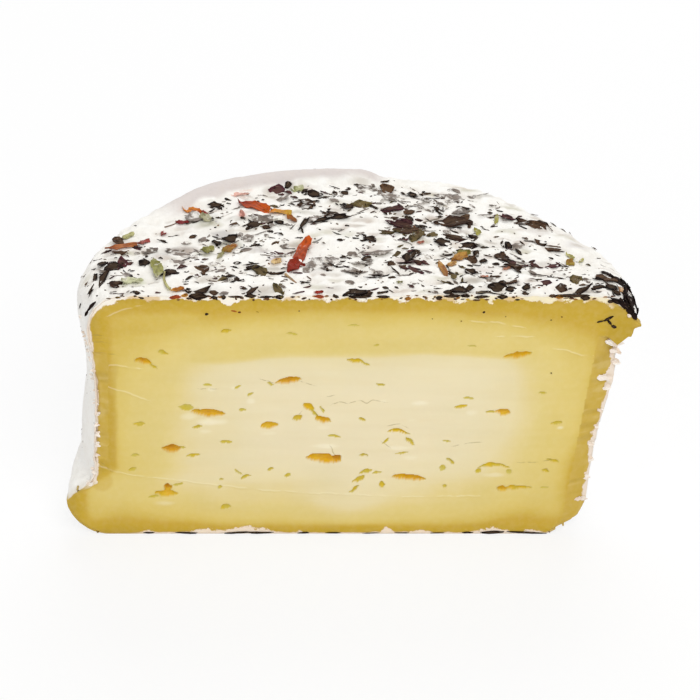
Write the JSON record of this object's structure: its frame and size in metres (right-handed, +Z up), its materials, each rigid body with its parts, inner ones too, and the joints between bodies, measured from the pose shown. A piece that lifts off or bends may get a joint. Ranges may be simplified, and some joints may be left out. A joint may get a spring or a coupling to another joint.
{
  "type": "half wheel of herb-crusted soft cheese",
  "caption": "Half of a round soft white-mould cheese with a herb crust, resting on its flat underside with the pale, holed paste of its cut face showing.",
  "frame": {"origin": "on the wheel's upright axis at the level it rests on, 4.5 mm behind the cut face", "axes": "+Z up, away from the underside; the cut face looks along -Y; +X along the cut face, to the right as one faces it"},
  "size_m": [0.1307, 0.0692, 0.0653],
  "materials": {
    "paste": "soft, buttery and matt, pale cream in the middle and golden towards the rind",
    "rind": "white bloomy mould, matt and velvety",
    "dark_herb": "dry dark brown to black leaf flakes, matt",
    "green_herb": "dry olive and khaki leaf flakes, matt",
    "petal": "dry orange, amber and dark red petals, matt",
    "stem": "dry brown stems, matt"
  },
  "bodies": {
    "root": {"cheese_half": "paste"}
  },
  "joints": []
}
